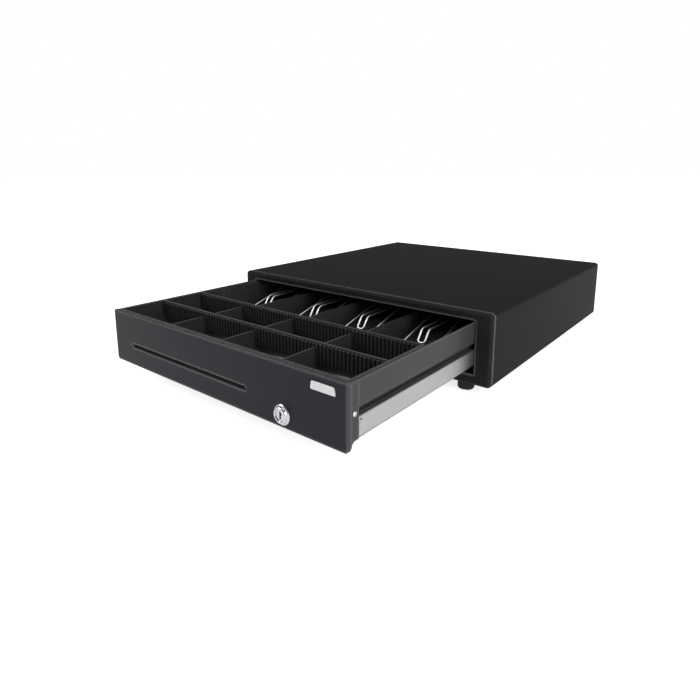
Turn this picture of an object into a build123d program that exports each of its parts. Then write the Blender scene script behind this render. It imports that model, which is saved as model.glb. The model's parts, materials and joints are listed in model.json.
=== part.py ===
from build123d import *
import os

# Cash drawer, shown open. Millimetres, +X to the right, -Y to the front, +Z up.
# The origin is on the surface that the feet stand on, in the middle of the open object.

# ---------------------------------------------------------------- driving dimensions
# Housing
housing_width = 410.0
housing_depth = 415.0
housing_height = 88.0
foot_height = 12.0
steel = 1.0
frame_steel = 1.2
corner_radius = 5.0
frame_edge_radius = 4.0
frame_depth = 5.0
seam = 0.3
opening_width = 369.0
opening_low = 25.0
opening_high = 89.3
opening_radius = 3.5
return_depth = 20.0
cover_flange = 12.0
rear_flange = 10.0

# Drawer
travel = 227.0
panel_width = 367.0
panel_height = 63.0
panel_low = 25.6
panel_thick = 4.5
panel_steel = 1.3
pan_half = 183.4
shelf_z = 59.6
recess_half = 175.6
pan_floor = 27.0
pan_rim = 88.0
pan_length = 312.0

# Runners
runner_low = 35.7
runner_high = 55.0
runner_face = 183.6
runner_length = 290.0
runner_steel = 1.2
ball_radius = 1.7
ball_gap = 2.6
ball_x = 180.5
groove_play = 0.05
fixed_runner_length = 300.0
cage_length = 60.0

# Trays
tray_half = 181.6
tray_foot_half = 173.6
tray_step = 60.8
tray_low = 53.5
tray_wall = 2.0
tray_end_wall = 4.0
tray_bend = 5.5
coin_rim = 88.0
note_rim = 85.0
note_divider_top = 78.0
column = 90.0
rib_pitch = 5.0
rib_width = 2.5
rib_depth = 1.5

# Note clips
rod_radius = 1.5
rod_z = 77.0
wire_radius = 1.1
clip_wire_sides = 8
hub_radius = 4.0
hub_length = 52.0

# Media slot, key lock and plate on the drawer front
slot_width = 204.3
slot_height = 4.5
slot_x = -44.65
slot_z = 50.3
lock_x = 107.7
lock_z = 39.3
bezel_radius = 10.0
bezel_height = 4.5
barrel_radius = 8.0
plug_radius = 5.5
plate_x = 156.8
plate_z = 77.7

# Screws
screw_head_height = 1.5
shank_sides = 8
head_sides = 12
recess_share = 0.25

# ---------------------------------------------------------------- places that follow
top_z = foot_height + housing_height
middle_z = foot_height + housing_height / 2
front_y = (travel + bezel_height - housing_depth - screw_head_height) / 2
back_y = front_y + housing_depth
panel_y = front_y - travel
panel_middle = panel_low + panel_height / 2
base_z = foot_height + steel
side_inside = housing_width / 2 - steel
bulkhead_y = panel_y + panel_thick + 0.1
bulkhead_back = bulkhead_y + runner_steel
pan_y = panel_y + 15.0
pan_back = pan_y + pan_length
closed_back = pan_back + travel

os.makedirs("parts", exist_ok=True)


def facing(y):
    """The upright plane at depth y: its x is +X and its y is +Z."""
    return Plane.XZ.offset(-y)


def beside(x):
    """The upright plane at width x: its x is +Y and its y is +Z."""
    return Plane.YZ.offset(x)


def level(z):
    """The flat plane at height z."""
    return Plane.XY.offset(z)


def save(piece, name):
    """Label a finished piece and write it."""
    piece.part.label = name
    export_step(piece.part, f"parts/{name}.step")


def turned(*profile):
    """A solid of revolution about Z from its half profile, radius first."""
    with BuildPart() as round_piece:
        with BuildSketch(Plane.XZ):
            with BuildLine():
                Polyline(*profile, close=True)
            make_face()
        revolve(axis=Axis.Z)
    return round_piece.part


def screw(shank, head, head_height, length):
    """A cross-head screw that points down -Z, its head standing on the origin."""
    with BuildPart() as piece:
        with BuildSketch():
            RegularPolygon(shank, shank_sides)
        extrude(amount=-length)
        with BuildSketch():
            RegularPolygon(head, head_sides)
        extrude(amount=head_height)
        chamfer(piece.faces().sort_by(Axis.Z)[-1].edges(), head_height * 0.4)
        with BuildSketch(level(head_height)):
            Rectangle(head, head * recess_share)
            Rectangle(head * recess_share, head)
        extrude(amount=-head_height * 0.7, mode=Mode.SUBTRACT)
    return piece.part


# ================================================================= HOUSING
# ---- pressed front with a rounded rim and the drawer's opening, turned in above and below
opening_height = opening_high - opening_low
return_width = opening_width - 2 * opening_radius
with BuildPart() as front_frame:
    with BuildSketch(facing(front_y)):
        with Locations((0, middle_z)):
            RectangleRounded(housing_width, housing_height, corner_radius)
    extrude(amount=-frame_depth)
    fillet(front_frame.faces().sort_by(Axis.Y)[0].edges(), frame_edge_radius)
    offset(amount=-frame_steel, openings=front_frame.faces().sort_by(Axis.Y)[-1])
    with BuildSketch(facing(front_y)) as opening:
        with Locations((0, opening_low + opening_height / 2)):
            Rectangle(opening_width, opening_height)
        fillet(opening.vertices().group_by(Axis.Y)[-1], opening_radius)
    extrude(amount=-frame_depth, mode=Mode.SUBTRACT)
    with BuildSketch(facing(front_y)):
        with Locations((0, opening_high + frame_steel / 2), (0, opening_low - frame_steel / 2)):
            Rectangle(return_width, frame_steel)
    extrude(amount=-return_depth)
save(front_frame, "front_frame")

# ---- folded cover: top, both sides and an inward flange along the bottom and round the back
cover_front = front_y + frame_depth + seam
inner_width = housing_width - 2 * steel
inner_height = housing_height - 2 * steel
rear_plate_y = back_y - steel
rear_screw_radius = 1.5
rear_hole_radius = 1.6
rear_side_x = 198.0
rear_top_x = 100.0
rear_top_z = top_z - 7.0
rear_side_zs = [38.0, 80.0]
rear_screw_places = [(x, z) for x in (-rear_side_x, rear_side_x) for z in rear_side_zs]
rear_screw_places += [(-rear_top_x, rear_top_z), (rear_top_x, rear_top_z)]
with BuildPart() as top_cover:
    with BuildSketch(facing(cover_front)):
        with Locations((0, middle_z)):
            RectangleRounded(housing_width, housing_height, corner_radius)
            RectangleRounded(inner_width, inner_height, corner_radius - steel, mode=Mode.SUBTRACT)
        with Locations((0, foot_height)):
            Rectangle(housing_width - 2 * cover_flange, 3 * steel, mode=Mode.SUBTRACT)
    extrude(amount=cover_front - back_y)
    with BuildSketch(facing(rear_plate_y - steel)):
        with Locations((0, middle_z)):
            RectangleRounded(inner_width, inner_height, corner_radius - steel)
            Rectangle(
                inner_width - 2 * rear_flange,
                inner_height - 2 * rear_flange,
                mode=Mode.SUBTRACT,
            )
        with Locations((0, foot_height)):
            Rectangle(housing_width, 3 * rear_flange, mode=Mode.SUBTRACT)
        with Locations(*rear_screw_places):
            Circle(rear_hole_radius, mode=Mode.SUBTRACT)
    extrude(amount=-steel)
save(top_cover, "top_cover")

# ---- base plate on the cover's flanges, with upturned sides and two pressed beads
base_front = front_y + frame_depth + 1.0
base_back = rear_plate_y - steel - seam
base_half = side_inside - seam
base_length = base_back - base_front
base_middle = (base_front + base_back) / 2
base_edge_height = 9.0
base_bend = 4.5
bead_length = 300.0
bead_width = 14.0
bead_height = 2.5
foot_x = 167.0
foot_inset = 18.0
bead_x = 135.0
foot_hole = 2.1
foot_ys = [front_y + foot_inset, back_y - foot_inset]
foot_places = [(x, y) for x in (-foot_x, foot_x) for y in foot_ys]
bead_places = [(-bead_x, base_middle), (bead_x, base_middle)]
with BuildPart() as base_plate:
    with BuildSketch(facing(base_front)) as base_section:
        with Locations((0, base_z + base_edge_height / 2)):
            Rectangle(2 * base_half, base_edge_height)
        fillet(base_section.vertices().group_by(Axis.Y)[0], base_bend)
        with BuildSketch(facing(base_front), mode=Mode.PRIVATE) as base_inside:
            with Locations((0, base_z + steel + base_edge_height / 2)):
                Rectangle(2 * (base_half - steel), base_edge_height)
            fillet(base_inside.vertices().group_by(Axis.Y)[0], base_bend - steel)
        add(base_inside.sketch_local, mode=Mode.SUBTRACT)
    extrude(amount=-base_length)
    with BuildSketch(level(base_z + steel)):
        with Locations(*bead_places):
            SlotOverall(bead_length, bead_width, rotation=90)
    extrude(amount=bead_height)
    with BuildSketch(level(base_z)):
        with Locations(*bead_places):
            SlotOverall(bead_length - 2 * steel, bead_width - 2 * steel, rotation=90)
    extrude(amount=bead_height, mode=Mode.SUBTRACT)
    with BuildSketch(level(base_z)):
        with Locations(*foot_places):
            Circle(foot_hole)
    extrude(amount=steel, mode=Mode.SUBTRACT)
save(base_plate, "base_plate")

# ---- rear plate between the cover's walls, with the socket's cut-out
socket_x = -150.0
socket_z = 45.0
socket_width = 15.0
socket_height = 13.0
with BuildPart() as rear_panel:
    with BuildSketch(facing(rear_plate_y)):
        with Locations((0, middle_z)):
            RectangleRounded(inner_width - seam, inner_height - seam, corner_radius - steel)
        with Locations((socket_x, socket_z)):
            Rectangle(socket_width + seam, socket_height + seam, mode=Mode.SUBTRACT)
        with Locations(*rear_screw_places):
            Circle(rear_hole_radius, mode=Mode.SUBTRACT)
    extrude(amount=-steel)
save(rear_panel, "rear_panel")

rear_screw_head = 3.0
rear_screw_length = 5.0
rear_screw = screw(rear_screw_radius, rear_screw_head, screw_head_height, rear_screw_length)
with BuildPart() as rear_screws:
    for x, z in rear_screw_places:
        with Locations(Plane((x, back_y, z), x_dir=(1, 0, 0), z_dir=(0, 1, 0))):
            add(rear_screw)
save(rear_screws, "rear_screws")

# ---- rubber feet with their screws
foot_radius = 10.0
foot_tip_radius = 9.0
foot_tip_height = 1.5
foot_bore = 2.1
foot_counterbore = 4.6
foot_web = 4.0
foot = turned(
    (foot_bore, foot_height + steel),
    (foot_radius, foot_height + steel),
    (foot_radius, foot_tip_height),
    (foot_tip_radius, 0),
    (foot_counterbore, 0),
    (foot_counterbore, foot_height + steel - foot_web),
    (foot_bore, foot_height + steel - foot_web),
)
with BuildPart() as rubber_feet:
    with Locations(*foot_places):
        add(foot)
save(rubber_feet, "rubber_feet")

foot_screw_grip = 4.0
foot_screw = screw(2.0, 4.0, 2.6, foot_web + foot_screw_grip)
with BuildPart() as foot_screws:
    for x, y in foot_places:
        with Locations(Plane((x, y, foot_height + steel - foot_web), z_dir=(0, 0, -1))):
            add(foot_screw)
save(foot_screws, "foot_screws")

# ================================================================= RUNNERS
# Ball runners: a channel on the drawer, lips round it on the housing, balls between them.
fixed_high = runner_high + ball_gap
fixed_low = runner_low - ball_gap
fixed_web = 186.4
fixed_lip = 178.2
fixed_y = front_y + 15.5
tab_width = 3.4
tab_low = opening_low + 1.0
drawer_runner_y = pan_y
ball_rows = [(ball_x, runner_high + ball_gap / 2), (ball_x, runner_low - ball_gap / 2)]
groove_radius = ball_radius + groove_play
fixed_middle = (fixed_high + fixed_low) / 2
fixed_height = fixed_high - fixed_low
with BuildPart() as cabinet_runner_right:
    with BuildSketch(facing(fixed_y)) as fixed_profile:
        with Locations((fixed_lip, fixed_middle)):
            Rectangle(
                fixed_web - fixed_lip + runner_steel,
                fixed_height + 2 * runner_steel,
                align=(Align.MIN, Align.CENTER),
            )
        fillet(fixed_profile.vertices().group_by(Axis.X)[-1], runner_steel)
        with Locations((fixed_lip, fixed_middle)):
            Rectangle(
                fixed_web - fixed_lip,
                fixed_height,
                align=(Align.MIN, Align.CENTER),
                mode=Mode.SUBTRACT,
            )
        with Locations(*ball_rows):
            Circle(groove_radius, mode=Mode.SUBTRACT)
    extrude(amount=-fixed_runner_length)
    with BuildSketch(facing(fixed_y)):
        with Locations((fixed_lip + 3.0, fixed_low - runner_steel)):
            Rectangle(tab_width, fixed_low - runner_steel - tab_low, align=(Align.MIN, Align.MAX))
    extrude(amount=-runner_steel)
save(cabinet_runner_right, "cabinet_runner_right")

with BuildPart() as cabinet_runner_left:
    mirror(cabinet_runner_right.part, about=Plane.YZ)
save(cabinet_runner_left, "cabinet_runner_left")

# ---- angle brackets that carry the fixed runners on the base plate
bracket_steel = 1.5
bracket_x = fixed_web + runner_steel
bracket_foot = base_half - base_bend - 0.2
bracket_y = fixed_y
bracket_length = 270.0
bracket_top = fixed_high + runner_steel
bracket_screw_x = (bracket_x + bracket_steel + bracket_foot) / 2 + 0.5
bracket_screw_ys = [bracket_y + 20.0, bracket_y + bracket_length - 20.0]
with BuildPart() as runner_bracket_right:
    with BuildSketch(facing(bracket_y)):
        with Locations((bracket_x, base_z + steel)):
            Rectangle(bracket_steel, bracket_top - base_z - steel, align=(Align.MIN, Align.MIN))
            Rectangle(bracket_foot - bracket_x, bracket_steel, align=(Align.MIN, Align.MIN))
    extrude(amount=-bracket_length)
    with BuildSketch(beside(bracket_x)):
        with Locations((bracket_y + bracket_length / 2, base_z + 13.0)):
            with GridLocations(85.0, 1.0, 3, 1):
                SlotOverall(50.0, 9.0)
    extrude(amount=bracket_steel, mode=Mode.SUBTRACT)
    with BuildSketch(level(base_z + steel)):
        with Locations(*[(bracket_screw_x, y) for y in bracket_screw_ys]):
            Circle(rear_hole_radius)
    extrude(amount=bracket_steel, mode=Mode.SUBTRACT)
save(runner_bracket_right, "runner_bracket_right")

with BuildPart() as runner_bracket_left:
    mirror(runner_bracket_right.part, about=Plane.YZ)
save(runner_bracket_left, "runner_bracket_left")

bracket_screw = screw(1.5, 3.0, 1.8, bracket_steel - 0.1)
with BuildPart() as bracket_screws:
    with Locations(level(base_z + steel + bracket_steel)):
        with Locations(*[(side * bracket_screw_x, y) for side in (-1, 1) for y in bracket_screw_ys]):
            add(bracket_screw)
save(bracket_screws, "bracket_screws")

# ---- ball cages, half-way between the fixed and the moving runner
cage_steel = 0.6
cage_web = 184.6
cage_lip = 178.4
cage_y = fixed_y + 1.0
cage_high = ball_rows[0][1] + cage_steel / 2
cage_low = ball_rows[1][1] - cage_steel / 2
cage_middle = (cage_high + cage_low) / 2
balls_in_row = 4
ball_pitch = 14.0
ball_sides = 8
ball_rings = [(0.25, -0.97), (0.7, -0.71), (0.97, -0.25), (0.97, 0.25), (0.7, 0.71), (0.25, 0.97)]
with BuildPart() as cage:
    with BuildSketch(facing(cage_y)):
        with Locations((cage_lip, cage_middle)):
            Rectangle(
                cage_web + cage_steel - cage_lip,
                cage_high - cage_low,
                align=(Align.MIN, Align.CENTER),
            )
            Rectangle(
                cage_web - cage_lip,
                cage_high - cage_low - 2 * cage_steel,
                align=(Align.MIN, Align.CENTER),
                mode=Mode.SUBTRACT,
            )
    extrude(amount=-cage_length)
    with BuildSketch(level(cage_low)):
        with Locations((ball_x, cage_y + cage_length / 2)):
            with GridLocations(1.0, ball_pitch, 1, balls_in_row):
                Circle(groove_radius)
    extrude(amount=cage_high - cage_low, mode=Mode.SUBTRACT)

with BuildPart() as ball_cages:
    add(cage.part)
    mirror(cage.part, about=Plane.YZ)
save(ball_cages, "ball_cages")

with BuildPart() as ball:
    for width, height in ball_rings:
        with BuildSketch(level(ball_radius * height)):
            RegularPolygon(ball_radius * width, ball_sides)
    loft(ruled=True)

first_ball = cage_y + cage_length / 2 - ball_pitch * (balls_in_row - 1) / 2
with BuildPart() as runner_balls:
    for n in range(balls_in_row):
        y = first_ball + ball_pitch * n
        with Locations(*[(side * x, y, z) for side in (-1, 1) for x, z in ball_rows]):
            add(ball.part)
save(runner_balls, "runner_balls")

# ---- moving runners, welded in the recess along the drawer's sides
moving_middle = (runner_low + runner_high) / 2
moving_height = runner_high - runner_low
end_hole_radius = 1.1
with BuildPart() as drawer_runner_right:
    with BuildSketch(facing(drawer_runner_y)) as moving_profile:
        with Locations((recess_half, moving_middle)):
            Rectangle(runner_face - recess_half, moving_height, align=(Align.MIN, Align.CENTER))
        fillet(moving_profile.vertices().group_by(Axis.X)[-1], runner_steel)
        with Locations((recess_half, moving_middle)):
            Rectangle(
                runner_face - recess_half - runner_steel,
                moving_height - 2 * runner_steel,
                align=(Align.MIN, Align.CENTER),
                mode=Mode.SUBTRACT,
            )
        with Locations(*ball_rows):
            Circle(groove_radius, mode=Mode.SUBTRACT)
    extrude(amount=-runner_length)
    with BuildSketch(beside(runner_face)):
        with Locations((drawer_runner_y + 2.6, runner_high - 3.4)):
            Circle(end_hole_radius)
    extrude(amount=-runner_steel, mode=Mode.SUBTRACT)
save(drawer_runner_right, "drawer_runner_right")

with BuildPart() as drawer_runner_left:
    mirror(drawer_runner_right.part, about=Plane.YZ)
save(drawer_runner_left, "drawer_runner_left")

# ================================================================= DRAWER
# ---- front panel: pressed steel, hollow behind, with the media slot and the lock's hole
panel_top_round = 1.5
panel_low_round = 4.0
panel_edge_round = 1.2
slot_tube = 1.0
with BuildPart() as drawer_front:
    with BuildSketch(facing(panel_y)) as panel_outline:
        with Locations((0, panel_middle)):
            Rectangle(panel_width, panel_height)
        fillet(panel_outline.vertices().group_by(Axis.Y)[0], panel_low_round)
        fillet(panel_outline.vertices().group_by(Axis.Y)[-1], panel_top_round)
    extrude(amount=-panel_thick)
    fillet(drawer_front.faces().sort_by(Axis.Y)[0].edges(), panel_edge_round)
    offset(amount=-panel_steel, openings=drawer_front.faces().sort_by(Axis.Y)[-1])
    with BuildSketch(facing(panel_y + panel_steel)):
        with Locations((slot_x, slot_z)):
            SlotOverall(slot_width + 2 * slot_tube, slot_height + 2 * slot_tube)
        with Locations((lock_x, lock_z)):
            Circle(bezel_radius)
    extrude(amount=panel_steel - panel_thick)
    with BuildSketch(facing(panel_y)):
        with Locations((slot_x, slot_z)):
            SlotOverall(slot_width, slot_height)
        with Locations((lock_x, lock_z)):
            Circle(barrel_radius + 0.1)
    extrude(amount=-panel_thick, mode=Mode.SUBTRACT)
save(drawer_front, "drawer_front")

# ---- bulkhead behind it: a plate with two side flanges that close the drawer's front corners
bulkhead_low = 34.5
bulkhead_return = 9.5
heel_low = 29.5
bulkhead_middle = (bulkhead_low + pan_rim) / 2
return_back = pan_y - 0.2
heel_y = bulkhead_y + 4.8
with BuildPart() as front_bulkhead:
    with BuildSketch(beside(-pan_half)) as cheek:
        with BuildLine():
            Line((bulkhead_y, pan_rim), (bulkhead_y, heel_low))
            Line((bulkhead_y, heel_low), (bulkhead_y + 0.8, heel_low))
            RadiusArc((bulkhead_y + 0.8, heel_low), (heel_y + 1.0, bulkhead_low), 5.0)
            Line((heel_y + 1.0, bulkhead_low), (return_back, bulkhead_low))
            Line((return_back, bulkhead_low), (return_back, pan_rim))
            Line((return_back, pan_rim), (bulkhead_y, pan_rim))
        make_face()
    extrude(amount=2 * pan_half)
    with BuildSketch(facing(bulkhead_back)):
        with Locations((0, (heel_low + pan_rim) / 2)):
            Rectangle(2 * (pan_half - runner_steel), pan_rim)
    extrude(amount=-2 * bulkhead_return, mode=Mode.SUBTRACT)
    with BuildSketch(facing(bulkhead_y)):
        with Locations((0, heel_low)):
            Rectangle(2 * (pan_half - runner_steel), 2 * (bulkhead_low - heel_low), mode=Mode.ADD)
        with Locations((slot_x, slot_z)):
            SlotOverall(slot_width, slot_height)
        with Locations((lock_x, lock_z)):
            Circle(barrel_radius + 0.1)
    extrude(amount=-runner_steel, mode=Mode.SUBTRACT)
    with BuildSketch(beside(-pan_half)):
        with Locations((bulkhead_y + 4.6, moving_middle + 13.8)):
            Circle(1.6)
    extrude(amount=2 * pan_half, mode=Mode.SUBTRACT)
save(front_bulkhead, "front_bulkhead")

corner_screw = screw(1.5, 2.4, 1.0, 4.0)
with BuildPart() as corner_screws:
    for side in (-1, 1):
        with Locations(
            Plane((side * pan_half, bulkhead_y + 4.6, moving_middle + 13.8), z_dir=(side, 0, 0))
        ):
            add(corner_screw)
save(corner_screws, "corner_screws")

# ---- folded drawer pan: shelf for the trays, recess for the runners, floor for flat papers
shelf_bend = 6.0
floor_bend = 2.5
tight_bend = 0.5
pan_lip = 42.0
pan_rear_rim = 84.0
cam_window_low = lock_x - 7.0
cam_window_high = lock_x + 21.5
cam_y = panel_y + 22.0
cam_thick = 2.0
outer_pan = [
    (0, pan_floor),
    (recess_half - seam, pan_floor),
    (recess_half - seam, shelf_z),
    (pan_half, shelf_z),
    (pan_half, pan_rim),
]
inner_pan = [
    (0, pan_floor + steel),
    (recess_half - seam - steel, pan_floor + steel),
    (recess_half - seam - steel, shelf_z + steel),
    (pan_half - steel, shelf_z + steel),
    (pan_half - steel, pan_rim),
]
outer_bends = [floor_bend, tight_bend, shelf_bend]
inner_bends = [floor_bend - steel, tight_bend + steel, shelf_bend - steel]


def pan_outline(points, bends):
    """Half of the pan's section, closed on the middle line and along the rim."""
    FilletPolyline(*points, radius=bends)
    Line(points[-1], (0, points[-1][1]))
    Line((0, points[-1][1]), points[0])


with BuildPart() as drawer_pan:
    with BuildSketch(facing(pan_y)):
        with BuildLine():
            pan_outline(outer_pan, outer_bends)
        make_face()
        with BuildLine():
            pan_outline(inner_pan, inner_bends)
        make_face(mode=Mode.SUBTRACT)
        mirror(about=Plane.YZ)
    extrude(amount=-pan_length)
    with BuildSketch(facing(pan_back - steel)):
        with BuildLine():
            pan_outline(outer_pan, outer_bends)
        make_face()
        mirror(about=Plane.YZ)
        with Locations((0, pan_rim)):
            Rectangle(housing_width, 2 * (pan_rim - pan_rear_rim), mode=Mode.SUBTRACT)
    extrude(amount=-steel)
    with BuildSketch(facing(pan_y)):
        with Locations((0, (pan_floor + pan_lip) / 2)):
            Rectangle(2 * (recess_half - seam - floor_bend), pan_lip - pan_floor)
        with Locations((lock_x, lock_z)):
            Rectangle(3 * bezel_radius, 2 * bezel_radius, mode=Mode.SUBTRACT)
    extrude(amount=-steel)
    with BuildSketch(level(pan_floor)):
        with Locations(((cam_window_low + cam_window_high) / 2, cam_y + cam_thick / 2)):
            Rectangle(cam_window_high - cam_window_low, 5 * cam_thick)
    extrude(amount=steel, mode=Mode.SUBTRACT)
save(drawer_pan, "drawer_pan")

# ---- plain metal plate on the front, its ends slanted
badge_width = 29.0
badge_height = 8.0
badge_thick = 0.8
badge_slant = 1.6
with BuildPart() as name_plate:
    with BuildSketch(facing(panel_y - badge_thick)) as badge:
        with Locations((plate_x, plate_z)):
            Trapezoid(badge_width, badge_height, 80)
        fillet(badge.vertices(), badge_slant)
    extrude(amount=-badge_thick)
    chamfer(name_plate.faces().sort_by(Axis.Y)[0].edges(), 0.25)
save(name_plate, "name_plate")

# ---- key lock: barrel with a stepped bezel, nut, turning plug and cam
barrel_length = 17.0
nut_radius = 11.0
nut_thick = 3.5
lock_plane = Plane((lock_x, panel_y, lock_z), x_dir=(1, 0, 0), z_dir=(0, -1, 0))
plug_front = 3.4
with BuildPart() as lock_barrel:
    with Locations(lock_plane):
        add(
            turned(
                (plug_radius + groove_play, -barrel_length),
                (barrel_radius, -barrel_length),
                (barrel_radius, 0),
                (bezel_radius, 0),
                (bezel_radius, 1.4),
                (bezel_radius - 0.9, 2.2),
                (bezel_radius - 1.6, 2.4),
                (bezel_radius - 2.2, bezel_height - 0.5),
                (bezel_radius - 2.8, bezel_height),
                (plug_radius + 0.6, bezel_height),
                (plug_radius + groove_play, bezel_height - 0.6),
            )
        )
save(lock_barrel, "lock_barrel")

with BuildPart() as lock_nut:
    with BuildSketch(facing(bulkhead_back)):
        with Locations((lock_x, lock_z)):
            RegularPolygon(nut_radius, 6)
            Circle(barrel_radius, mode=Mode.SUBTRACT)
    extrude(amount=-nut_thick)
save(lock_nut, "lock_nut")

keyway_width = 2.0
keyway_height = 7.4
keyway_depth = 14.0
cam_shank = 3.5
plug_length = cam_y - panel_y
with BuildPart() as lock_plug:
    with BuildSketch(facing(panel_y - plug_front)):
        with Locations((lock_x, lock_z)):
            Circle(plug_radius)
    extrude(amount=-(plug_front + plug_length))
    with BuildSketch(facing(panel_y - plug_front)):
        with Locations((lock_x, lock_z)):
            Rectangle(keyway_width, keyway_height)
        with Locations((lock_x + 0.5, lock_z + 1.2)):
            Rectangle(keyway_width + 0.6, 2.0)
    extrude(amount=-keyway_depth, mode=Mode.SUBTRACT)
    with BuildSketch(facing(cam_y)):
        with Locations((lock_x, lock_z)):
            Rectangle(2 * cam_shank, 2 * cam_shank)
    extrude(amount=-cam_thick)
save(lock_plug, "lock_plug")

cam_reach = 19.0
cam_radius = 6.5
with BuildPart() as lock_cam:
    with BuildSketch(facing(cam_y)) as cam_shape:
        with Locations((lock_x, lock_z)):
            Circle(cam_radius)
        with Locations((lock_x, lock_z)):
            Rectangle(cam_reach, 9.0, align=(Align.MIN, Align.CENTER))
        fillet(cam_shape.vertices().group_by(Axis.X)[-1], 2.0)
        with Locations((lock_x, lock_z)):
            Rectangle(2 * cam_shank, 2 * cam_shank, mode=Mode.SUBTRACT)
    extrude(amount=-cam_thick)
save(lock_cam, "lock_cam")

with BuildPart() as cam_screw:
    with Locations(Plane((lock_x, cam_y + cam_thick, lock_z), z_dir=(0, 1, 0))):
        add(turned((0, 0), (4.6, 0), (4.6, 1.2), (3.2, 2.2), (0, 2.2)))
save(cam_screw, "cam_screw")

# ---- striker on the drawer's rear wall
striker_z = 44.6
striker_thick = 2.0
striker_outline = [(-8, 0), (8, 0), (8, 7), (3.5, 7), (3.5, 15), (8, 15), (8, 19), (3, 26), (-3, 26), (-8, 20)]
with BuildPart() as catch_striker:
    with BuildSketch(Plane((0, pan_back, striker_z))):
        with BuildLine():
            Polyline(*striker_outline, close=True)
        make_face()
    extrude(amount=striker_thick)
    with BuildSketch(facing(pan_back)):
        with Locations((0, striker_z)):
            RectangleRounded(30.0, 16.0, 3.0)
    extrude(amount=-1.5)
save(catch_striker, "catch_striker")

# ================================================================= LATCH UNIT
# Everything here is measured back from the drawer's rear wall when the drawer is shut.
deck_top = 44.0
deck_steel = 1.5
deck_left = -78.0
deck_right = 30.0
deck_front = closed_back + 3.0
deck_depth = 66.0
deck_foot = 12.0
pivot_x = 14.0
pivot_y = closed_back + 38.0
lever_z = deck_top + 0.2
lever_thick = 2.0
pin_radius = 2.5
tail = 17.0
solenoid_z = 57.0
plunger_radius = 4.2
tail_pin_radius = 1.5
deck_middle = (deck_left + deck_right) / 2
with BuildPart() as latch_bracket:
    with BuildSketch(facing(deck_front)):
        with BuildLine():
            FilletPolyline(
                (deck_left - deck_foot, base_z + steel + deck_steel / 2),
                (deck_left, base_z + steel + deck_steel / 2),
                (deck_left, deck_top - deck_steel / 2),
                (deck_right, deck_top - deck_steel / 2),
                (deck_right, base_z + steel + deck_steel / 2),
                (deck_right + deck_foot, base_z + steel + deck_steel / 2),
                radius=2.0,
            )
        trace(line_width=deck_steel)
    extrude(amount=-deck_depth)
    with BuildSketch(level(deck_top - deck_steel)):
        with Locations((pivot_x, pivot_y)):
            Circle(pin_radius + groove_play)
    extrude(amount=deck_steel, mode=Mode.SUBTRACT)
save(latch_bracket, "latch_bracket")

with BuildPart() as latch_pin:
    with Locations((pivot_x, pivot_y, 0)):
        add(
            turned(
                (0, deck_top - deck_steel - 1.0),
                (pin_radius + 1.2, deck_top - deck_steel - 1.0),
                (pin_radius + 1.2, deck_top - deck_steel),
                (pin_radius, deck_top - deck_steel),
                (pin_radius, lever_z + lever_thick + 0.2),
                (pin_radius + 1.8, lever_z + lever_thick + 0.2),
                (pin_radius + 1.8, lever_z + lever_thick + 1.6),
                (0, lever_z + lever_thick + 1.6),
            )
        )
save(latch_pin, "latch_pin")

hook_outline = [(-9.8, -30), (-9.8, -24), (-3.5, -24), (-5.5, 0), (5.5, 0), (5.5, -20), (2.0, -30)]
with BuildPart() as latch_lever:
    with BuildSketch(Plane((pivot_x, pivot_y, lever_z))):
        with BuildLine():
            Polyline(*hook_outline, close=True)
        make_face()
        Circle(6.5)
        Rectangle(7.0, tail + 3.5, align=(Align.CENTER, Align.MIN))
        Circle(pin_radius + groove_play, mode=Mode.SUBTRACT)
    extrude(amount=lever_thick)
    with BuildSketch(Plane((pivot_x, pivot_y + tail, lever_z + lever_thick))):
        Circle(tail_pin_radius)
    extrude(amount=solenoid_z + 3.0 - lever_z - lever_thick)
save(latch_lever, "latch_lever")

runs_in_turn = 10
wire_sides = 6

# ---- solenoid: steel frame, wound coil, plunger with a slotted tongue
solenoid_y = pivot_y + tail
solenoid_left = -54.0
solenoid_right = -16.0
cheek_steel = 2.0
coil_radius = 9.6
flange_radius = 10.7
cheek_top = solenoid_z + 13.0
coil_length = solenoid_right - solenoid_left - 2 * cheek_steel
solenoid_middle = (solenoid_left + solenoid_right) / 2
with BuildPart() as solenoid_frame:
    with BuildSketch(facing(solenoid_y - 12.0)):
        with Locations((solenoid_middle, deck_top)):
            Rectangle(solenoid_right - solenoid_left, cheek_top - deck_top, align=(Align.CENTER, Align.MIN))
        with Locations((solenoid_middle, deck_top + cheek_steel)):
            Rectangle(coil_length, cheek_top, align=(Align.CENTER, Align.MIN), mode=Mode.SUBTRACT)
    extrude(amount=-24.0)
    with BuildSketch(beside(solenoid_right - cheek_steel)):
        with Locations((solenoid_y, solenoid_z)):
            Circle(plunger_radius + 0.1)
    extrude(amount=cheek_steel, mode=Mode.SUBTRACT)
save(solenoid_frame, "solenoid_frame")

coil_start = solenoid_left + cheek_steel
with BuildPart() as solenoid_coil:
    with Locations(Plane((coil_start, solenoid_y, solenoid_z), z_dir=(1, 0, 0))):
        add(
            turned(
                (plunger_radius + 0.1, 0),
                (flange_radius, 0),
                (flange_radius, 1.5),
                (coil_radius, 1.5),
                (coil_radius, coil_length - 1.5),
                (flange_radius, coil_length - 1.5),
                (flange_radius, coil_length),
                (plunger_radius + 0.1, coil_length),
            )
        )
save(solenoid_coil, "solenoid_coil")

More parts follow.
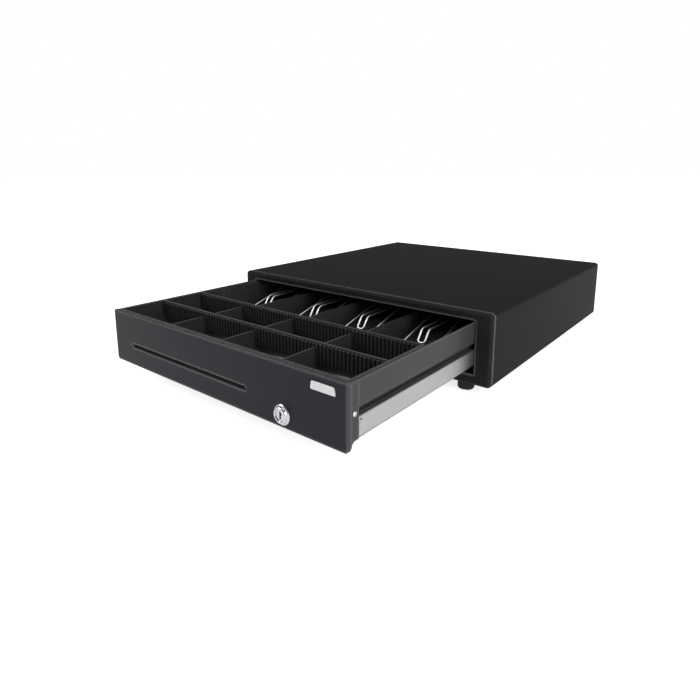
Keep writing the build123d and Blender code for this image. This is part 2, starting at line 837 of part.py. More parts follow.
plunger_in = solenoid_left + 8.0
plunger_out = 2.0
collar_x = -1.0
tongue_half = 1.5
with BuildPart() as solenoid_plunger:
    with Locations(Plane((plunger_in, solenoid_y, solenoid_z), z_dir=(1, 0, 0))):
        add(
            turned(
                (0, 0),
                (plunger_radius, 0),
                (plunger_radius, collar_x - plunger_in),
                (plunger_radius + 2.8, collar_x - plunger_in),
                (plunger_radius + 2.8, collar_x - plunger_in + 1.0),
                (plunger_radius, collar_x - plunger_in + 1.0),
                (plunger_radius, plunger_out - plunger_in),
                (0, plunger_out - plunger_in),
            )
        )
    with BuildSketch(Plane((plunger_out, solenoid_y, solenoid_z - tongue_half))):
        Rectangle(pivot_x - plunger_out + 5.0, 2 * plunger_radius, align=(Align.MIN, Align.CENTER))
        with Locations((pivot_x - plunger_out, 0)):
            SlotOverall(6.0, 2 * tail_pin_radius + 0.4, rotation=90, mode=Mode.SUBTRACT)
    extrude(amount=2 * tongue_half)
save(solenoid_plunger, "solenoid_plunger")


def coil_spring(start, direction, length, radius, wire, turns):
    """A compression spring along a direction, each turn made of short straight runs."""
    runs = turns * runs_in_turn
    corners = [
        Vector(radius, 0, length * n / runs).rotate(Axis.Z, 360 * n / runs_in_turn)
        for n in range(runs + 1)
    ]
    with BuildPart() as spring:
        with BuildLine() as winding:
            Polyline(*corners)
        with BuildSketch(Plane(winding.line @ 0, z_dir=winding.line % 0)):
            RegularPolygon(wire, wire_sides)
        sweep(transition=Transition.RIGHT)
    return Plane(start, z_dir=direction) * spring.part


with BuildPart() as latch_spring:
    add(coil_spring((solenoid_right + 0.8, solenoid_y, solenoid_z), (1, 0, 0), 13.4, 5.6, 0.5, 4))
save(latch_spring, "latch_spring")

# ---- spring pusher that starts the drawer on its way out
eject_x = 95.0
eject_z = 50.0
eject_stroke = 25.0
eject_gap = 0.3
eject_head = closed_back + eject_gap - eject_stroke
head_thick = 5.0
guide_front = closed_back + 22.0
guide_depth = 18.0
eject_rod_radius = 4.0
with BuildPart() as eject_guide:
    with BuildSketch(facing(guide_front)):
        with Locations((eject_x, base_z + steel)):
            Rectangle(20.0, eject_z - base_z - steel, align=(Align.CENTER, Align.MIN))
            Rectangle(44.0, 3.0, align=(Align.CENTER, Align.MIN))
        with Locations((eject_x, eject_z)):
            Circle(10.0)
            Circle(eject_rod_radius + groove_play, mode=Mode.SUBTRACT)
    extrude(amount=-guide_depth)
save(eject_guide, "eject_guide")

with BuildPart() as eject_pusher:
    with Locations(Plane((eject_x, eject_head, eject_z), z_dir=(0, 1, 0))):
        rod_end = guide_front + guide_depth - eject_head
        add(
            turned(
                (0, 0),
                (7.0, 0),
                (8.0, 1.0),
                (8.0, head_thick),
                (eject_rod_radius, head_thick),
                (eject_rod_radius, rod_end + 0.3),
                (6.5, rod_end + 0.3),
                (6.5, rod_end + 1.8),
                (eject_rod_radius, rod_end + 1.8),
                (eject_rod_radius, rod_end + 4.0),
                (0, rod_end + 4.0),
            )
        )
save(eject_pusher, "eject_pusher")

eject_spring_start = eject_head + head_thick + 0.9
with BuildPart() as eject_spring:
    add(
        coil_spring(
            (eject_x, eject_spring_start, eject_z),
            (0, 1, 0),
            guide_front - 0.9 - eject_spring_start,
            5.8,
            0.7,
            6,
        )
    )
save(eject_spring, "eject_spring")

# ---- switch that reports the drawer's position
switch_pivot = (-69.0, closed_back + 3.0)
switch_top = deck_top + 10.0
switch_pin_radius = 0.8
lever_angle = 20.0
with BuildPart() as position_switch:
    with BuildSketch(Plane((switch_pivot[0], switch_pivot[1], deck_top))) as switch_outline:
        with Locations((-3.0, 1.9)):
            RectangleRounded(24.0, 6.4, 0.8, align=(Align.MIN, Align.MIN))
    extrude(amount=switch_top - deck_top)
    with BuildSketch(Plane((switch_pivot[0], switch_pivot[1], deck_top + 2.0))):
        Circle(switch_pin_radius)
        with Locations((0, 0)):
            Rectangle(1.0, 3.0, align=(Align.CENTER, Align.MIN))
    extrude(amount=1.6)
    with BuildSketch(Plane((switch_pivot[0], switch_pivot[1], deck_top + 3.6))):
        Circle(switch_pin_radius)
    extrude(amount=4.4)
save(position_switch, "position_switch")

with BuildPart() as switch_lever:
    with BuildSketch(Plane((switch_pivot[0], switch_pivot[1], deck_top + 3.9))):
        with Locations(Rotation(0, 0, -lever_angle)):
            Rectangle(18.0, 0.6, align=(Align.MIN, Align.CENTER))
            with Locations((18.0, 0)):
                Circle(0.9)
        Circle(1.4)
        Circle(switch_pin_radius + groove_play, mode=Mode.SUBTRACT)
    extrude(amount=3.6)
save(switch_lever, "switch_lever")

# ---- cable socket and its board behind the rear plate
socket_y = back_y - 15.0
board_thick = 1.6
board_top = socket_z - socket_height / 2
board_places = [(socket_x - 13.0, socket_y - 8.0), (socket_x + 13.0, socket_y - 8.0)]
with BuildPart() as cable_socket:
    with BuildSketch(facing(socket_y)):
        with Locations((socket_x, socket_z)):
            Rectangle(socket_width, socket_height)
    extrude(amount=-(back_y - socket_y + 0.8))
    with BuildSketch(facing(socket_y + 3.0)):
        with Locations((socket_x, socket_z)):
            Rectangle(10.2, 6.8)
        with Locations((socket_x, socket_z - 3.4)):
            Rectangle(4.2, 3.0)
    extrude(amount=-socket_y, mode=Mode.SUBTRACT)
save(cable_socket, "cable_socket")

with BuildPart() as socket_board:
    with BuildSketch(level(board_top - board_thick)):
        with Locations((socket_x, socket_y)):
            Rectangle(36.0, 25.0)
        with Locations(*board_places):
            Circle(1.5, mode=Mode.SUBTRACT)
    extrude(amount=board_thick)
save(socket_board, "socket_board")

with BuildPart() as board_posts:
    with Locations(*[(x, y, 0) for x, y in board_places]):
        add(
            turned(
                (0, base_z + steel),
                (3.0, base_z + steel),
                (3.0, board_top - board_thick),
                (1.5, board_top - board_thick),
                (1.5, board_top),
                (2.8, board_top),
                (2.8, board_top + 1.4),
                (0, board_top + 1.4),
            )
        )
save(board_posts, "board_posts")

# ================================================================= TRAYS
# ---- coin tray: two ribbed troughs that take the loose dividers, lifted out as one
coin_front = bulkhead_back + 0.6
coin_back = front_y - 103.2
trough_floor = tray_low + tray_wall
shoulder_z = 66.0
trough_half = tray_half - tray_end_wall
trough_foot_half = tray_foot_half - tray_wall
trough_bend = 9.0
row_wall = 2.4
coin_depth = coin_back - coin_front
trough_depth = (coin_depth - 2 * tray_wall - row_wall) / 2
trough_starts = [coin_front + tray_wall, coin_front + tray_wall + trough_depth + row_wall]
comb_high = coin_rim - 2.0
comb_half = int(trough_half / rib_pitch)


def tray_block(start, depth, rim):
    """The outside of a tray: a stepped block that stands on the drawer's shelf."""
    with BuildPart() as block:
        with BuildSketch(facing(start)) as block_outline:
            with Locations((0, tray_step)):
                Rectangle(2 * tray_half, rim - tray_step, align=(Align.CENTER, Align.MIN))
            with Locations((0, tray_low)):
                Rectangle(2 * tray_foot_half, tray_step - tray_low, align=(Align.CENTER, Align.MIN))
            lower_corners = block_outline.vertices().filter_by(lambda corner: corner.Y < rim - 1)
            shelf_corners = lower_corners.filter_by(lambda corner: abs(corner.X) > tray_foot_half + 1)
            fillet(shelf_corners, tray_bend)
        extrude(amount=-depth)
        upright = block.edges().filter_by(Axis.Z).group_by(Axis.Z)[-1]
        fillet(upright, 1.0)
    return block.part


def trough_foot(start, depth, left, right):
    """The lower part of a compartment, with a scooped floor from front to back."""
    with BuildPart() as foot_space:
        with BuildSketch(beside(left)) as scoop:
            with Locations((start, trough_floor)):
                Rectangle(depth, shoulder_z - trough_floor, align=(Align.MIN, Align.MIN))
            fillet(scoop.vertices().group_by(Axis.Y)[0], trough_bend)
        extrude(amount=right - left)
    return foot_space.part


def comb_points(start, depth):
    """Outline of a trough whose long walls carry upright ribs."""
    ribs = [rib_pitch * (n + 0.5) for n in range(-comb_half, comb_half)]
    front, back = [(-trough_half, start)], [(-trough_half, start + depth)]
    for rib in ribs:
        low, high = rib - rib_width / 2, rib + rib_width / 2
        front += [(low, start), (low, start + rib_depth), (high, start + rib_depth), (high, start)]
        wall = start + depth
        back += [(low, wall), (low, wall - rib_depth), (high, wall - rib_depth), (high, wall)]
    front.append((trough_half, start))
    back.append((trough_half, start + depth))
    return front + back[::-1]


with BuildPart() as coin_tray:
    add(tray_block(coin_front, coin_depth, coin_rim))
    for start in trough_starts:
        add(trough_foot(start, trough_depth, -trough_foot_half, trough_foot_half), mode=Mode.SUBTRACT)
        with BuildSketch(level(shoulder_z)):
            with BuildLine():
                Polyline(*comb_points(start, trough_depth), close=True)
            make_face()
        extrude(amount=comb_high - shoulder_z, mode=Mode.SUBTRACT)
        with BuildSketch(level(comb_high)):
            with Locations((0, start + trough_depth / 2)):
                Rectangle(2 * trough_half, trough_depth)
        extrude(amount=coin_rim - comb_high, mode=Mode.SUBTRACT)
save(coin_tray, "coin_tray")

# ---- loose dividers, three to a row, their ends in the grooves between ribs
divider_thick = 2.0
divider_top = 82.5
divider_play = 0.3
number = 0
for start in trough_starts:
    for x in (-column, 0, column):
        number += 1
        with BuildPart() as coin_divider:
            with BuildSketch(beside(x - divider_thick / 2)) as divider_shape:
                with Locations((start + divider_play, trough_floor + divider_play)):
                    Rectangle(
                        trough_depth - 2 * divider_play,
                        divider_top - trough_floor - divider_play,
                        align=(Align.MIN, Align.MIN),
                    )
                fillet(divider_shape.vertices().group_by(Axis.Y)[0], trough_bend + divider_play)
            extrude(amount=divider_thick)
        save(coin_divider, f"coin_divider_{number}")

# ---- note tray: four compartments behind the coins, with lugs for the clips' rod
note_front = coin_back + 0.4
note_back = pan_back - steel - 0.5
note_depth = note_back - note_front
note_start = note_front + tray_wall
note_inner = note_depth - 2 * tray_wall
note_bend = 5.0
rod_y = front_y + 75.0
lug_radius = 4.6
lug_width = 4.0
column_edges = [
    (-trough_half, -trough_foot_half, -column - 1, -column - 1),
    (-column + 1, -column + 1, -1, -1),
    (1, 1, column - 1, column - 1),
    (column + 1, column + 1, trough_foot_half, trough_half),
]
lug_places = [-column, 0, column]
with BuildPart() as note_tray:
    add(tray_block(note_front, note_depth, note_rim))
    for left, foot_left, foot_right, right in column_edges:
        add(trough_foot(note_start, note_inner, foot_left, foot_right), mode=Mode.SUBTRACT)
        with BuildSketch(level(shoulder_z)):
            with Locations((left, note_start)):
                Rectangle(right - left, note_inner, align=(Align.MIN, Align.MIN))
        extrude(amount=note_rim - shoulder_z, mode=Mode.SUBTRACT)
    with BuildSketch(level(note_divider_top)):
        with Locations((0, note_start)):
            Rectangle(2 * trough_half, note_inner, align=(Align.CENTER, Align.MIN))
    extrude(amount=note_rim - note_divider_top, mode=Mode.SUBTRACT)
    for x in lug_places:
        with BuildSketch(beside(x - lug_width / 2)):
            with Locations((rod_y, rod_z)):
                Circle(lug_radius)
                Rectangle(2 * lug_radius, 10.0, align=(Align.CENTER, Align.MAX))
        extrude(amount=lug_width)
    for x in (-trough_half, trough_half - 2.0):
        with BuildSketch(beside(x)):
            with Locations((rod_y, rod_z)):
                Circle(lug_radius)
        extrude(amount=2.0)
    with BuildSketch(beside(-trough_half)):
        with Locations((rod_y, rod_z)):
            Circle(rod_radius)
    extrude(amount=2 * trough_half, mode=Mode.SUBTRACT)
save(note_tray, "note_tray")

with BuildPart() as clip_rod:
    with BuildSketch(beside(-trough_half)):
        with Locations((rod_y, rod_z)):
            Circle(rod_radius)
    extrude(amount=2 * trough_half)
save(clip_rod, "clip_rod")

# ---- note clips: a wire bail and a raised finger loop in a hub that turns on the rod
clip_half = 20.0
loop_half = 4.6
bail_front = front_y - 40.0
bail_low = 58.2
bail_knee = front_y + 24.0
loop_front = front_y - 29.5
loop_knee = front_y - 20.0
loop_knee_z = 74.0
loop_low = 60.5
wire_start = rod_y - 2.6
wire_bend = 4.0
loop_bend = 3.0
clip_places = [-128.0, -38.0, 43.0, 131.5]


def bent_wire(points, bend):
    """A wire bent along a route of straight runs and arcs."""
    with BuildPart() as wire:
        with BuildLine() as route:
            FilletPolyline(*points, radius=bend)
        with BuildSketch(Plane(route.line @ 0, x_dir=(1, 0, 0), z_dir=route.line % 0)):
            RegularPolygon(wire_radius, clip_wire_sides)
        sweep()
    return wire.part


for number, x in enumerate(clip_places, 1):
    with BuildPart() as clip_hub:
        with BuildSketch(beside(x - hub_length / 2)):
            with Locations((rod_y, rod_z)):
                Circle(hub_radius)
                Circle(rod_radius + groove_play, mode=Mode.SUBTRACT)
        extrude(amount=hub_length)
        for dx in (-clip_half, -loop_half, loop_half, clip_half):
            with BuildSketch(facing(wire_start)):
                with Locations((x + dx, rod_z)):
                    RegularPolygon(wire_radius, clip_wire_sides)
            extrude(amount=hub_radius, mode=Mode.SUBTRACT)
    save(clip_hub, f"clip_hub_{number}")
    with BuildPart() as note_clip:
        add(
            bent_wire(
                [
                    (x - clip_half, wire_start, rod_z),
                    (x - clip_half, bail_knee, rod_z),
                    (x - clip_half, bail_front, bail_low),
                    (x + clip_half, bail_front, bail_low),
                    (x + clip_half, bail_knee, rod_z),
                    (x + clip_half, wire_start, rod_z),
                ],
                wire_bend,
            )
        )
        add(
            bent_wire(
                [
                    (x - loop_half, wire_start, rod_z),
                    (x - loop_half, loop_knee, loop_knee_z),
                    (x - loop_half, loop_front, loop_low),
                    (x + loop_half, loop_front, loop_low),
                    (x + loop_half, loop_knee, loop_knee_z),
                    (x + loop_half, wire_start, rod_z),
                ],
                loop_bend,
            )
        )
    save(note_clip, f"note_clip_{number}")
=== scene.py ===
import json
from math import radians

import bpy
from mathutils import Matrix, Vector


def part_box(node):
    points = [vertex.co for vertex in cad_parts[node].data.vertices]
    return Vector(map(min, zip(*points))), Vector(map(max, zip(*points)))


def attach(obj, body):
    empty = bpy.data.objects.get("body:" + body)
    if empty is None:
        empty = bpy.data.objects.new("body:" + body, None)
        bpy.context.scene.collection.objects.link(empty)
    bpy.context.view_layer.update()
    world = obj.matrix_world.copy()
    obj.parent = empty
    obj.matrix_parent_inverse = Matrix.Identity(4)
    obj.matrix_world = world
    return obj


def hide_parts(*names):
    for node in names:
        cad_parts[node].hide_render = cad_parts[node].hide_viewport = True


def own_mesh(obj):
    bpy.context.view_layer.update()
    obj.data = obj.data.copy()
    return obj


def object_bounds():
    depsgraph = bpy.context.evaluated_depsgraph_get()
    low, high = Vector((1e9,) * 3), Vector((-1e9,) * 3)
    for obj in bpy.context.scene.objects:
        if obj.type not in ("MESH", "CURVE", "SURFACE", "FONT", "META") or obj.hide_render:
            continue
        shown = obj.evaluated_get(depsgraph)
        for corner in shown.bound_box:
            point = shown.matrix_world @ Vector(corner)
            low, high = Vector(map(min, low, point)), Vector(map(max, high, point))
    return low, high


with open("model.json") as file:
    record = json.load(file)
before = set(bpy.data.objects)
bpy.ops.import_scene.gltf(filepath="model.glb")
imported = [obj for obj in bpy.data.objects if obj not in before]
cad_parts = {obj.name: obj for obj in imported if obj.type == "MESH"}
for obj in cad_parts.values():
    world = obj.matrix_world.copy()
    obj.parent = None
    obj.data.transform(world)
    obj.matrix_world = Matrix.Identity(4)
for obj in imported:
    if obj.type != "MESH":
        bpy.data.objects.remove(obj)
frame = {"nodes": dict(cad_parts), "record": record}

nodes = frame["nodes"]
cad_low, cad_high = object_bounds()
scene = bpy.context.scene

# ------------------------------------------------------------------ camera
CAMERA_PLACE = (0.43946, -0.63456, 0.25933)
CAMERA_AZIMUTH = 38.834
CAMERA_ELEVATION = 11.409
CAMERA_LENS = 27.727
CAMERA_SHIFT = -0.1071

bpy.ops.object.camera_add(
    location=CAMERA_PLACE,
    rotation=(radians(90 - CAMERA_ELEVATION), 0, radians(CAMERA_AZIMUTH)),
)
camera = bpy.context.object
camera.name = "camera"
camera.data.lens = CAMERA_LENS
camera.data.shift_y = CAMERA_SHIFT
camera.data.clip_start = 0.01
camera.data.clip_end = 50
camera.data.dof.use_dof = False
scene.camera = camera


# ------------------------------------------------------------------ shader maths
class Flow:
    """A value on its way through a finish: sums and products with it add Math nodes."""

    def __init__(self, finish, socket):
        self.finish = finish
        self.socket = socket

    def maths(self, operation, *values):
        return self.finish.node(
            "ShaderNodeMath", {"operation": operation}, dict(enumerate(values))
        )

    def __add__(self, other):
        return self.maths("ADD", self, other)

    def __radd__(self, other):
        return self.maths("ADD", other, self)

    def __sub__(self, other):
        return self.maths("SUBTRACT", self, other)

    def __rsub__(self, other):
        return self.maths("SUBTRACT", other, self)

    def __mul__(self, other):
        return self.maths("MULTIPLY", self, other)

    def __rmul__(self, other):
        return self.maths("MULTIPLY", other, self)

    def above(self, level):
        return self.maths("GREATER_THAN", self, level)


class Finish:
    """A material under way: one shader with its constants, and the nodes that vary it."""

    def __init__(self, name, colour, roughness, metallic=0.0, **constants):
        self.material = bpy.data.materials.new(name)
        self.material.use_nodes = True
        self.tree = self.material.node_tree
        self.shader = self.tree.nodes["Principled BSDF"]
        self.put("Base Color", (*colour, 1.0))
        self.put("Roughness", roughness)
        self.put("Metallic", metallic)
        for name, value in constants.items():
            self.put(name.replace("_", " "), value)

    def put(self, name, value):
        self.feed(self.shader.inputs[name], value)

    def feed(self, socket, value):
        if isinstance(value, Flow):
            self.tree.links.new(value.socket, socket)
        else:
            socket.default_value = value

    def node(self, kind, settings=None, inputs=None, output=0):
        made = self.tree.nodes.new(kind)
        for name, value in (settings or {}).items():
            setattr(made, name, value)
        for name, value in (inputs or {}).items():
            self.feed(made.inputs[name], value)
        return Flow(self, made.outputs[output])

    def place(self, stretch=(1.0, 1.0, 1.0)):
        """The piece's own coordinates in metres, stretched for patterns that run one way."""
        own = self.node("ShaderNodeTexCoord", output="Object")
        return self.node("ShaderNodeMapping", {}, {"Vector": own, "Scale": stretch})

    def noise(self, size, detail=2.0, stretch=(1.0, 1.0, 1.0)):
        """Soft noise from 0 to 1 whose blots are about size metres wide."""
        return self.node(
            "ShaderNodeTexNoise",
            {},
            {"Vector": self.place(stretch), "Scale": 1.0 / size, "Detail": detail},
        )

    def cells(self, size, stretch=(1.0, 1.0, 1.0), colour=False):
        """Cell pattern; its distance, or one random shade to each cell."""
        return self.node(
            "ShaderNodeTexVoronoi",
            {},
            {"Vector": self.place(stretch), "Scale": 1.0 / size},
            "Color" if colour else "Distance",
        )

    def spread(self, value, low, high):
        """A flow from 0 to 1 eased between two levels of another."""
        return self.node(
            "ShaderNodeMapRange",
            {"interpolation_type": "SMOOTHSTEP"},
            {"Value": value, "From Min": low, "From Max": high},
        )

    def mix(self, share, first, second):
        """A colour between two others."""
        made = self.tree.nodes.new("ShaderNodeMix")
        made.data_type = "RGBA"
        self.feed(made.inputs[0], share)
        for socket, colour in ((6, first), (7, second)):
            if isinstance(colour, Flow):
                self.feed(made.inputs[socket], colour)
            else:
                made.inputs[socket].default_value = (*colour[:3], 1.0)
        return Flow(self, made.outputs[2])

    def edges(self, reach):
        """1 along the piece's edges, fading to 0 within a reach in metres."""
        smooth = self.node("ShaderNodeBevel", {"samples": 4}, {"Radius": reach})
        flat = self.node("ShaderNodeNewGeometry", output="Normal")
        meeting = self.node(
            "ShaderNodeVectorMath",
            {"operation": "DOT_PRODUCT"},
            {0: smooth, 1: flat},
            "Value",
        )
        return self.spread(1.0 - meeting, 0.015, 0.09)

    def relief(self, height, depth, strength=1.0, edge=None):
        """Bumps of a given depth in metres, over edges softened to a given radius."""
        inputs = {"Height": height, "Distance": depth, "Strength": strength}
        if edge:
            inputs["Normal"] = self.node(
                "ShaderNodeBevel", {"samples": 4}, {"Radius": edge}
            )
        self.put("Normal", self.node("ShaderNodeBump", {}, inputs))


# ------------------------------------------------------------------ finishes
# How far from an edge the paler paint reaches: a painted highlight along the edges together with
# worn paint.
RUBBED_AND_HIGHLIGHT_REACH = 0.0034


def powder_coat(name, colour, roughness, dust, gloss, rub_and_highlight):
    """Baked powder paint: fine orange peel, faint cloudiness, dust, and edges painted paler, partly
    as worn paint and partly as a painted highlight along them.
    """
    paint = Finish(name, colour, roughness, Specular_IOR_Level=gloss)
    clouds = paint.noise(0.09, 3.0)
    speck = paint.noise(0.0011, 2.0)
    lifted = tuple(c + dust for c in colour)
    even = paint.mix(clouds * 0.6 + speck * 0.25, colour, lifted)
    # Paler colour along the edges: a painted highlight line, and worn paint.
    rubbed_and_highlight_colour = tuple(c + rub_and_highlight for c in colour)
    edges = paint.edges(RUBBED_AND_HIGHLIGHT_REACH) * (0.7 + clouds * 0.5)
    paint.put("Base Color", paint.mix(edges, even, rubbed_and_highlight_colour))
    paint.put("Roughness", (roughness - 0.06) + clouds * 0.07 + speck * 0.05)
    peel = paint.noise(0.0014, 1.5) + paint.noise(0.00045, 1.0) * 0.35
    paint.relief(peel, 0.00007, 0.55, edge=0.0007)
    return paint.material


def drawn_steel(name, colour, roughness, stretch, line_depth=0.00001, edge=0.0003):
    """Zinc-plated steel with lines along its length and faint spangle."""
    steel = Finish(name, colour, roughness, 1.0)
    lines = steel.noise(0.0006, 3.0, stretch)
    spangle = steel.cells(0.004, colour=True)
    blooms = steel.noise(0.03, 4.0)
    dark = tuple(c * 0.78 for c in colour)
    light = tuple(min(1.0, c * 1.1) for c in colour)
    shade = spangle * 0.1 + blooms * 0.55 + lines * 0.3
    steel.put("Base Color", steel.mix(shade, dark, light))
    steel.put("Roughness", roughness - 0.08 + blooms * 0.1 + lines * 0.08)
    steel.relief(lines, line_depth, 0.7, edge=edge)
    return steel.material


def polished(name, colour, roughness):
    """Bright plating with faint handling haze."""
    bright = Finish(name, colour, roughness, 1.0)
    haze = bright.noise(0.006, 4.0)
    bright.put("Roughness", roughness + bright.spread(haze, 0.45, 0.75) * 0.09)
    bright.put("Base Color", bright.mix(haze * 0.5, colour, tuple(c * 0.86 for c in colour)))
    bright.relief(haze, 0.000008, 0.4, edge=0.0002)
    return bright.material


def moulded(name, colour, roughness, grain, depth, gloss=0.5, edge=0.0005):
    """Moulded plastic: grain from the mould, slow shade changes, fine rubbing marks."""
    plastic = Finish(name, colour, roughness, Specular_IOR_Level=gloss)
    flow_marks = plastic.noise(0.05, 2.0)
    fine = plastic.noise(grain, 2.0)
    rubs = plastic.spread(plastic.noise(0.004, 5.0, (1.0, 0.12, 1.0)), 0.55, 0.72)
    paler = tuple(c + 0.006 for c in colour)
    plastic.put("Base Color", plastic.mix(flow_marks * 0.6 + rubs * 0.3, colour, paler))
    plastic.put("Roughness", roughness + flow_marks * 0.05 + rubs * 0.08)
    plastic.relief(fine + flow_marks * 2.0, depth, 0.6, edge=edge)
    return plastic.material


ALONG_Y = (1.0, 0.02, 1.0)
ALONG_X = (0.02, 1.0, 1.0)
EVEN = (1.0, 1.0, 1.0)
finishes = {
    # The last number of each powder coat is how much paler its edges are painted: a painted
    # highlight, and worn paint.
    "housing_paint": powder_coat(
        "housing powder coat", (0.0135, 0.0135, 0.013), 0.42, 0.003, 0.008, 0.15
    ),
    "front_paint": powder_coat(
        "front powder coat", (0.0165, 0.017, 0.0205), 0.36, 0.003, 0.05, 0.1
    ),
    "drawer_paint": powder_coat(
        "drawer powder coat", (0.036, 0.036, 0.036), 0.38, 0.003, 0.1, 0.05
    ),
    "runner_steel": drawn_steel("zinc plated steel", (0.4, 0.4, 0.395), 0.42, ALONG_Y),
    "screw_steel": drawn_steel("screw zinc", (0.62, 0.61, 0.59), 0.3, EVEN),
    "spring_steel": drawn_steel("spring steel", (0.5, 0.5, 0.5), 0.3, EVEN),
    "chrome": polished("lock chrome", (0.46, 0.465, 0.48), 0.14),
    "wire_chrome": polished("bright wire", (0.78, 0.785, 0.8), 0.3),
    "badge_metal": drawn_steel(
        "brushed plate", (0.5, 0.5, 0.51), 0.33, ALONG_X, 0.000015, 0.0003
    ),
    "cage_brass": drawn_steel("cage strip", (0.55, 0.54, 0.5), 0.34, ALONG_Y),
    "foot_rubber": moulded("foot rubber", (0.016, 0.016, 0.016), 0.8, 0.0009, 0.00008, 0.25),
    "tray_plastic": moulded("tray plastic", (0.026, 0.025, 0.0235), 0.22, 0.0009, 0.000012),
    "moulded_black": moulded("grained moulding", (0.02, 0.02, 0.021), 0.5, 0.0005, 0.00004),
}


def wound_tape():
    """Coil under amber tape: the turns of wire show through as fine ridges."""
    tape = Finish("coil tape", (0.32, 0.11, 0.03), 0.35)
    turns = tape.node(
        "ShaderNodeTexWave",
        {"bands_direction": "X"},
        {"Vector": tape.place(), "Scale": 400.0, "Distortion": 0.6, "Detail": 1.0},
        "Fac",
    )
    tape.put("Base Color", tape.mix(turns, (0.16, 0.045, 0.012), (0.42, 0.16, 0.05)))
    tape.relief(turns, 0.0001, 0.8)
    return tape.material


def solder_mask():
    """Green board with tracks raised under the mask."""
    board = Finish("solder mask", (0.015, 0.11, 0.045), 0.3)
    tracks = board.cells(0.0035, (1.0, 2.2, 1.0)).above(0.52)
    board.put("Base Color", board.mix(tracks, (0.012, 0.09, 0.035), (0.03, 0.2, 0.08)))
    board.relief(tracks, 0.00005, 0.8)
    return board.material


finishes["coil_tape"] = wound_tape()
finishes["board_green"] = solder_mask()

slot_of = {part["node"]: part["material_slot"] for part in frame["record"]["subparts"]}
for name, node in nodes.items():
    material = finishes[slot_of[name]]
    node.data.materials.clear()
    node.data.materials.append(material)


# ------------------------------------------------------------------ workshop
def clear_selection():
    if bpy.context.object and bpy.context.object.mode != "OBJECT":
        bpy.ops.object.mode_set(mode="OBJECT")
    bpy.ops.object.select_all(action="DESELECT")


def begin(name):
    """Names the primitive that was just added and opens it for shaping."""
    piece = bpy.context.object
    piece.name = name
    piece.data.name = name
    bpy.ops.object.mode_set(mode="EDIT")
    bpy.ops.mesh.select_mode(type="VERT")
    bpy.ops.mesh.select_all(action="SELECT")
    return piece


def settle(piece, smooth=35.0):
    """Closes a finished piece: place in the mesh, faces outwards, soft shading."""
    if piece.mode != "OBJECT":
        bpy.ops.object.mode_set(mode="OBJECT")
    clear_selection()
    piece.select_set(True)
    bpy.context.view_layer.objects.active = piece
    bpy.ops.object.transform_apply(location=True, rotation=True, scale=True)
    bpy.ops.object.mode_set(mode="EDIT")
    bpy.ops.mesh.select_all(action="SELECT")
    bpy.ops.mesh.remove_doubles(threshold=1e-6)
    bpy.ops.mesh.normals_make_consistent(inside=False)
    bpy.ops.object.mode_set(mode="OBJECT")
    bpy.ops.object.shade_smooth_by_angle(angle=radians(smooth))
    return piece


def dress(piece, slot, body, *stands_for):
    """Gives a piece the finish of its slot and the body that it rides on."""
    piece.data.materials.clear()
    piece.data.materials.append(finishes[slot])
    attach(piece, body)
    if stands_for:
        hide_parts(*stands_for)


def bent_wire(name, corners, radius, bend, fineness=5):
    """A round wire through corners, each rounded to a bend radius."""
    clear_selection()
    bpy.ops.mesh.primitive_plane_add(size=radius, location=corners[0])
    wire = begin(name)
    bpy.ops.mesh.merge(type="CENTER")
    for here, there in zip(corners, corners[1:]):
        bpy.ops.mesh.extrude_region_move(
            TRANSFORM_OT_translate={"value": Vector(there) - Vector(here)}
        )
    bpy.ops.mesh.select_all(action="SELECT")
    bpy.ops.mesh.bevel(offset=bend, segments=fineness, affect="VERTICES")
    bpy.ops.object.mode_set(mode="OBJECT")
    bpy.ops.object.convert(target="CURVE")
    wire.data.bevel_depth = radius
    wire.data.bevel_resolution = 3
    wire.data.use_fill_caps = True
    bpy.ops.object.convert(target="MESH")
    return settle(wire, 50.0)


def joined(name, parts):
    """Several meshes made one piece."""
    clear_selection()
    for part in parts:
        part.select_set(True)
    bpy.context.view_layer.objects.active = parts[0]
    bpy.ops.object.join()
    parts[0].name = name
    parts[0].data.name = name
    return parts[0]


def choose(piece, test):
    """Selects the faces whose middle and normal pass a test, in edit mode."""
    bpy.ops.mesh.select_mode(type="FACE")
    bpy.ops.mesh.select_all(action="DESELECT")
    bpy.ops.object.mode_set(mode="OBJECT")
    for face in piece.data.polygons:
        face.select = test(face.center, face.normal)
    bpy.ops.object.mode_set(mode="EDIT")


def laid_out(name, model, places, turn=(0, 0, 0)):
    """Copies of a model, each with its own mesh, joined as one piece."""
    bpy.ops.object.mode_set(mode="OBJECT")
    copies = []
    for place in places:
        copy = model.copy()
        copy.data = model.data.copy()
        scene.collection.objects.link(copy)
        copy.location = place
        copy.rotation_euler = [radians(angle) for angle in turn]
        copies.append(copy)
    bpy.data.objects.remove(model)
    return joined(name, copies)


